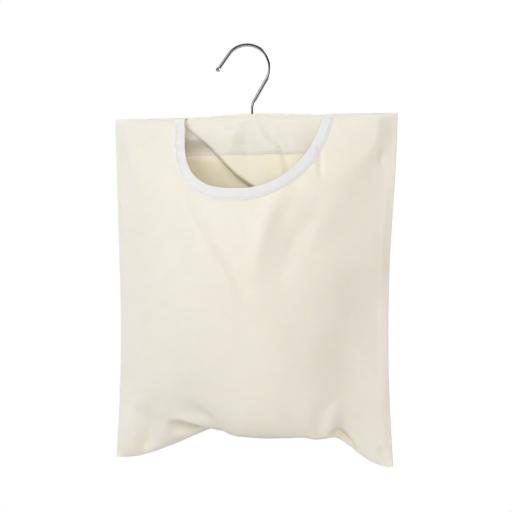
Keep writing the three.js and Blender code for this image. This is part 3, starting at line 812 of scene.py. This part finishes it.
def extrude(way):
    bpy.ops.mesh.extrude_region_move(TRANSFORM_OT_translate={"value": tuple(Vector(way) * MM)})


def spin(centre, angle, steps):
    bpy.ops.mesh.spin(steps=steps, angle=angle, center=tuple(centre * MM), axis=(0, -1, 0))


extrude((0, 0, HEAD_HEIGHT))
bpy.ops.mesh.inset(thickness=(HEAD_RADIUS - WIRE / 2) * MM)
extrude((0, 0, slope_foot.z - cut - head_foot - HEAD_HEIGHT))
spin(Vector((NECK_RADIUS, 0, slope_foot.z - cut)), lean, NECK_STEPS)
extrude(slope * (1 - cut / slope.length))
spin(bend_centre, last - first, BEND_STEPS)
extrude(tip - bend_end)
bpy.ops.object.mode_set(mode="OBJECT")
say(hook)

# %% The ball at the tip
BALL_RADIUS = 2.4
ball_place = tuple(tip * MM)
bpy.ops.mesh.primitive_uv_sphere_add(segments=24, ring_count=16, radius=BALL_RADIUS * MM, location=ball_place)
ball = bpy.context.object
bpy.ops.object.select_all(action="DESELECT")
ball.select_set(True)
hook.select_set(True)
bpy.context.view_layer.objects.active = hook
bpy.ops.object.join()
hook.rotation_euler.z = HOOK_TURN
bpy.ops.object.transform_apply(location=True, rotation=True, scale=True)
tidy_normals(hook)
say(hook)

# %% [markdown]
# ## Materials
# Every finish is worked out in nodes, so that it holds from any side and at any size. Each pattern's scale
# comes from a real size in millimetres. One function turns sRGB hex colours to linear ones, and one adds a
# node with its settings and links.

# %% Material helpers
def colour(code):
    """The linear colour of an sRGB hex value."""
    parts = [int(code[i : i + 2], 16) / 255 for i in (1, 3, 5)]
    return [p / 12.92 if p <= 0.04045 else ((p + 0.055) / 1.055) ** 2.4 for p in parts] + [1]


def add(tree, kind, inputs=None, **settings):
    node = tree.nodes.new(kind)
    for name, value in settings.items():
        setattr(node, name, value)
    for name, value in (inputs or {}).items():
        if isinstance(value, bpy.types.NodeSocket):
            tree.links.new(value, node.inputs[name])
        else:
            node.inputs[name].default_value = value
    return node


def finish(name, **constants):
    """A new material, its tree and its shader. A keyword names a socket, with _ for each space."""
    material = bpy.data.materials.new(name)
    material.use_nodes = True
    tree = material.node_tree
    shader = tree.nodes["Principled BSDF"]
    for socket, value in constants.items():
        shader.inputs[socket.replace("_", " ")].default_value = value
    return material, tree, shader


def per_metre(*sizes):
    """A noise texture's scale for patches of a size in millimetres, or its scales along three axes."""
    scales = [1 / (size * MM) for size in sizes]
    return scales if len(scales) > 1 else scales[0]


def bands_per_metre(pitch):
    """The scale of a wave texture whose bands are a pitch apart, in millimetres."""
    return 2 * math.pi / (20 * pitch * MM)


# %% [markdown]
# ### Natural cotton canvas
# Unbleached cotton in a plain weave: matt, cream, with thicker slubs of yarn here and there and a soft fuzz
# that catches grazing light. It is thin enough for some light to pass through it. The real threads are about
# half a millimetre apart, too fine to show from where the bag is seen, so they are drawn twice as far apart.

# %% Canvas
MOTTLE = 45.5  # patches of tone, in millimetres
MOTTLE_RANGE = (0.35, 0.75)  # of the noise, from one tone to the other
WEFT_SLUBS = (71.4, 2.38, 1000)  # long across and thin down, and flat cloth has no third way
WARP_SLUBS = (1.92, 83.3, 1000)
SLUB_RANGE = (0.7, 1.3)  # of the two together
SLUB_RISE = 0.7  # beside the weave's own
WEAVE_DEPTH = 0.25
CLOTH_LOOK = {
    "Roughness": 0.92,
    "Specular_IOR_Level": 0.25,
    "Sheen_Weight": 0.12,
    "Sheen_Roughness": 0.5,
    "Subsurface_Weight": 0.85,
    "Subsurface_Radius": (1.0, 0.97, 0.6),
    "Subsurface_Scale": 1.2 * MM,
}


def cloth_finish(name, base, shade, pitch, slub):
    """Woven cloth in two near tones, with threads a pitch apart and a share of slubs in its tone."""
    material, tree, shader = finish(name, **CLOTH_LOOK)
    place = add(tree, "ShaderNodeUVMap", uv_map="cloth").outputs["UV"]
    patches = {"Vector": place, "Scale": per_metre(MOTTLE), "Detail": 4.0, "Roughness": 0.6}
    mottle = add(tree, "ShaderNodeTexNoise", patches).outputs["Fac"]
    streaks = []
    for sizes in (WEFT_SLUBS, WARP_SLUBS):
        stretch = {"Vector": place, "Scale": per_metre(*sizes)}
        run = add(tree, "ShaderNodeMapping", stretch).outputs["Vector"]
        streak = add(tree, "ShaderNodeTexNoise", {"Vector": run, "Scale": 1.0, "Detail": 2.0})
        streaks.append(streak.outputs["Fac"])
    yarn = add(tree, "ShaderNodeMath", dict(enumerate(streaks)), operation="ADD").outputs[0]
    tone = add(tree, "ShaderNodeMath", {0: yarn, 1: slub, 2: mottle}, operation="MULTIPLY_ADD").outputs[0]
    low, high = [a + slub * b for a, b in zip(MOTTLE_RANGE, SLUB_RANGE)]
    limits = {"Value": tone, "From Min": low, "From Max": high}
    spread = add(tree, "ShaderNodeMapRange", limits).outputs[0]
    tones = {"Factor": spread, "A": colour(base), "B": colour(shade)}
    mix = add(tree, "ShaderNodeMix", tones, data_type="RGBA")
    tree.links.new(mix.outputs["Result"], shader.inputs["Base Color"])
    waves = []
    threads = {"Vector": place, "Scale": bands_per_metre(pitch)}
    for way in ("X", "Y"):
        waves.append(add(tree, "ShaderNodeTexWave", threads, bands_direction=way).outputs["Fac"])
    weave = add(tree, "ShaderNodeMath", dict(enumerate(waves)), operation="MULTIPLY").outputs[0]
    raised = {0: yarn, 1: SLUB_RISE, 2: weave}
    height = add(tree, "ShaderNodeMath", raised, operation="MULTIPLY_ADD").outputs[0]
    relief = {"Height": height, "Strength": 0.35, "Distance": WEAVE_DEPTH * MM}
    bump = add(tree, "ShaderNodeBump", relief)
    tree.links.new(bump.outputs["Normal"], shader.inputs["Normal"])
    return material


canvas = cloth_finish("natural_cotton_canvas", "#f4efdc", "#f0ead5", 1.0, 0.3)
tape = cloth_finish("white_bias_tape", "#fbf9e6", "#f5f3e1", 0.8, 0.2)
thread = cloth_finish("cotton_thread", "#f1ecda", "#e8e1cc", 0.4, 0.2)
print("cloth finishes:", canvas.name, tape.name, thread.name)

# %% [markdown]
# ### Bright plated wire
# Steel wire with a bright plating: a mirror, a little soft from fine drawing marks. What it reflects is what
# gives it its dark and light lines, so its colour is nearly flat.

# %% Plated wire
DRAWING_MARKS = 1.11  # millimetres apart
TARNISH = 6.25  # patches of tone
plated, tree, shader = finish("bright_plated_steel_wire", Metallic=1.0)
place = add(tree, "ShaderNodeTexCoord").outputs["Object"]
marks = {"Vector": place, "Scale": per_metre(DRAWING_MARKS), "Detail": 3.0}
drawn = add(tree, "ShaderNodeTexNoise", marks)
rough = add(tree, "ShaderNodeMapRange", {"Value": drawn.outputs["Fac"], "To Min": 0.04, "To Max": 0.09})
tree.links.new(rough.outputs[0], shader.inputs["Roughness"])
patches = {"Vector": place, "Scale": per_metre(TARNISH), "Detail": 2.0}
tarnish = add(tree, "ShaderNodeTexNoise", patches)
tones = {"Factor": tarnish.outputs["Fac"], "A": colour("#dfe0e2"), "B": colour("#d2d3d5")}
mix = add(tree, "ShaderNodeMix", tones, data_type="RGBA")
tree.links.new(mix.outputs["Result"], shader.inputs["Base Color"])
print("wire finish:", plated.name)

# %% [markdown]
# ### Zinc washer and beech bar
# The washer is dull zinc with a fine grain. The bar is sanded beech: fine straight grain along its length,
# with short dark flecks.

# %% Zinc and beech
ZINC_GRAIN = 0.667  # millimetres across
BEECH_FIBRES = (111.0, 2.38, 2.38)  # long, wide and thick
GRAIN_DEPTH = 0.2
zinc, tree, shader = finish("zinc_plated_steel", Metallic=1.0, Base_Color=colour("#b4b4b2"))
place = add(tree, "ShaderNodeTexCoord").outputs["Object"]
grain = {"Vector": place, "Scale": per_metre(ZINC_GRAIN), "Detail": 3.0}
grained = add(tree, "ShaderNodeTexNoise", grain)
rough = add(tree, "ShaderNodeMapRange", {"Value": grained.outputs["Fac"], "To Min": 0.3, "To Max": 0.5})
tree.links.new(rough.outputs[0], shader.inputs["Roughness"])

beech, tree, shader = finish("sanded_beech", Roughness=0.6)
place = add(tree, "ShaderNodeTexCoord").outputs["Object"]
stretch = {"Vector": place, "Scale": per_metre(*BEECH_FIBRES)}
run = add(tree, "ShaderNodeMapping", stretch).outputs["Vector"]
fibre = add(tree, "ShaderNodeTexNoise", {"Vector": run, "Scale": 1.0, "Detail": 5.0}).outputs["Fac"]
tones = {"Factor": fibre, "A": colour("#d9b48a"), "B": colour("#bb8f62")}
mix = add(tree, "ShaderNodeMix", tones, data_type="RGBA")
tree.links.new(mix.outputs["Result"], shader.inputs["Base Color"])
bump = add(tree, "ShaderNodeBump", {"Height": fibre, "Strength": 0.2, "Distance": GRAIN_DEPTH * MM})
tree.links.new(bump.outputs["Normal"], shader.inputs["Normal"])
print("hidden finishes:", zinc.name, beech.name)


# %% [markdown]
# ## Putting the pieces together
# Each new piece stands for one piece of the frame and moves with the same body. The washer and the bar keep
# the frame's own shapes, because they are right already and hidden by the cloth.

# %% Stand-ins and bodies
def stand_for(piece, node, body, material):
    piece.data.materials.clear()
    piece.data.materials.append(material)
    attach(piece, body)
    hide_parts(node)


stand_for(hook, "hook", "hook", plated)
stand_for(front, "front_panel", "bag", canvas)
stand_for(back, "back_panel", "bag", canvas)
stand_for(facing, "hanger_facing", "bag", canvas)
stand_for(binding, "mouth_binding", "bag", tape)
for node, piece in seams.items():
    stand_for(piece, node, "bag", thread)
for node, material in (("swivel_washer", zinc), ("hanger_bar", beech)):
    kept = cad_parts[node].data
    kept.materials.clear()
    kept.materials.append(material)
print(len(seams) + 5, "pieces stand for the frame's, and 2 of the frame's are kept")

# %% [markdown]
# ## Flat sizes
# Cloth is cut flat before it is sewn, so each sheet has a length and a width on the cutting table. The
# sheets' UV maps above lay them out flat in metres.

# %% [markdown]
# ## Light and background
# The bag hangs against plain white in soft light, brighter from the left. White for the camera comes from the
# world's own colour, and the lamps only light the bag. Bright metal shows what stands round it, so what the
# wire mirrors is a dark room with a lit white backdrop and a few white cards, as in a studio.

# %% World
AMBIENT = (0.46, 1.02)  # the light from the camera's side, and from the lit backdrop
LIT_FROM = -0.2  # the cosine to the backdrop's middle from where it grows
VIEW_TURN = math.radians(20)
scene = bpy.context.scene
scene.view_settings.view_transform = "Standard"
scene.cycles.max_bounces = 20
scene.cycles.diffuse_bounces = 16  # light bounces many times inside a pale bag
view_right = Vector((math.cos(VIEW_TURN), math.sin(VIEW_TURN), 0))
view_axis = Vector((-math.sin(VIEW_TURN), math.cos(VIEW_TURN), 0))
world = bpy.data.worlds.new("studio")
scene.world = world
world.use_nodes = True
tree = world.node_tree
tree.nodes.clear()
path = add(tree, "ShaderNodeLightPath").outputs
toward = add(tree, "ShaderNodeTexCoord").outputs["Generated"]
dot = add(tree, "ShaderNodeVectorMath", {0: toward, 1: view_axis}, operation="DOT_PRODUCT")
backwards = dot.outputs["Value"]
lit = {"Value": backwards, "From Min": LIT_FROM, "To Min": AMBIENT[0], "To Max": AMBIENT[1]}
level = add(tree, "ShaderNodeMapRange", lit).outputs[0]
print("the world's light runs from", AMBIENT[0], "to", AMBIENT[1])

# %% What the wire mirrors
# A card has the way to it from the wire: right, up and towards the camera. Then come the cosines where it
# starts and where it is full, and its strength.
WHITE_CARDS = [
    ((0.97, 0.26, 0.0), 0.74, 0.84, 2.6),
    ((-0.66, 0.38, 0.64), 0.92, 0.97, 1.4),
    ((0.35, -0.74, 0.57), 0.92, 0.97, 1.4),
    ((0.0, -1.0, 0.0), 0.6, 0.85, 0.5),
]
BACKDROP_EDGE = (0.45, 0.8)  # the cosines where the lit backdrop starts and is full
DARK_ROOM = 0.1
edge = {"From Min": BACKDROP_EDGE[0], "From Max": BACKDROP_EDGE[1], "To Min": DARK_ROOM}
cards = add(tree, "ShaderNodeMapRange", {"Value": backwards, **edge}).outputs[0]
for way, near, full, strength in WHITE_CARDS:
    card_way = way[0] * view_right + way[1] * Vector((0, 0, 1)) - way[2] * view_axis
    dot = add(tree, "ShaderNodeVectorMath", {0: toward, 1: card_way}, operation="DOT_PRODUCT")
    reach = {"Value": dot.outputs["Value"], "From Min": near, "From Max": full, "To Max": strength}
    card = add(tree, "ShaderNodeMapRange", reach).outputs[0]
    cards = add(tree, "ShaderNodeMath", {0: cards, 1: card}, operation="MAXIMUM").outputs[0]
print(len(WHITE_CARDS), "white cards")

# %% Background
PLAIN_WHITE = (1, 1, 1, 1)
clear = {0: path["Is Camera Ray"], 1: path["Is Transmission Ray"]}
seen = add(tree, "ShaderNodeMath", clear, operation="MAXIMUM").outputs[0]
soft = add(tree, "ShaderNodeBackground", {"Color": colour("#f7f5f9"), "Strength": level}).outputs[0]
mirror = add(tree, "ShaderNodeBackground", {"Color": PLAIN_WHITE, "Strength": cards}).outputs[0]
white = add(tree, "ShaderNodeBackground", {"Color": PLAIN_WHITE, "Strength": 1.0}).outputs[0]
metal = add(tree, "ShaderNodeMixShader", {0: path["Is Glossy Ray"], 1: soft, 2: mirror}).outputs[0]
whole = add(tree, "ShaderNodeMixShader", {0: seen, 1: metal, 2: white}).outputs[0]
add(tree, "ShaderNodeOutputWorld", {"Surface": whole})
print("world:", world.name)

# %% Lamps
MIDDLE = Vector((0, -0.02, -0.24))
LAMP_SIZE = 1.3


def lamp(name, place, power, tint):
    bpy.ops.object.light_add(type="AREA", location=place)
    light = bpy.context.object
    light.name = name
    light.rotation_euler = (MIDDLE - Vector(place)).to_track_quat("-Z", "Y").to_euler()
    light.data.size = LAMP_SIZE
    light.data.energy = power
    light.data.color = colour(tint)[:3]
    light.visible_glossy = False
    print(f"{name}: {power} W")


lamp("key_light", (-1.25, -1.6, 1.15), 24.3, "#ebf2ff")
lamp("fill_light", (0.85, -2.08, 0.2), 20.6, "#f7eff7")

# %% [markdown]
# ## Floor and camera
# A pale floor lies well below the bag, out of the main picture, and stands behind the bag in views from
# above. The camera stands level, a little to the bag's right, far off with a long lens, as for a catalogue.

# %% Floor
FLOOR_BELOW = 1.15
FLOOR_SIZE = 4.0
SPECKLE = 100.0  # patches of tone, in millimetres
bpy.ops.object.select_all(action="DESELECT")
bpy.ops.mesh.primitive_plane_add(size=FLOOR_SIZE, location=(0, 0, -FLOOR_BELOW))
floor = bpy.context.object
floor.name = "floor"
pale, tree, shader = finish("pale_floor", Roughness=0.9)
across_floor = FLOOR_SIZE / (SPECKLE * MM)  # with no place linked, a pattern counts across the whole piece
speckle = add(tree, "ShaderNodeTexNoise", {"Scale": across_floor, "Detail": 3.0}).outputs["Fac"]
tones = {"Factor": speckle, "A": colour("#dededc"), "B": colour("#d8d8d6")}
mix = add(tree, "ShaderNodeMix", tones, data_type="RGBA")
tree.links.new(mix.outputs["Result"], shader.inputs["Base Color"])
floor.data.materials.append(pale)
print(f"the floor lies {FLOOR_BELOW} m below the hook's seat")

# %% Camera
DISTANCE = 1.988
FRAME_WIDTH = 0.512  # metres across the picture at the hook's shank
SHANK_RIGHT = -0.0032  # the shank stands this far right of the picture's middle
EYE_DROP = 0.1395  # the camera looks level at this drop
eye = -DISTANCE * view_axis - SHANK_RIGHT * view_right + Vector((0, 0, BAG_TOP * MM - EYE_DROP))
bpy.ops.object.camera_add(location=eye, rotation=(math.pi / 2, 0, VIEW_TURN))
camera = bpy.context.object
camera.data.sensor_width = 36.0
camera.data.lens = camera.data.sensor_width * DISTANCE / FRAME_WIDTH
scene.camera = camera
print(f"camera lens {camera.data.lens:.1f} mm")
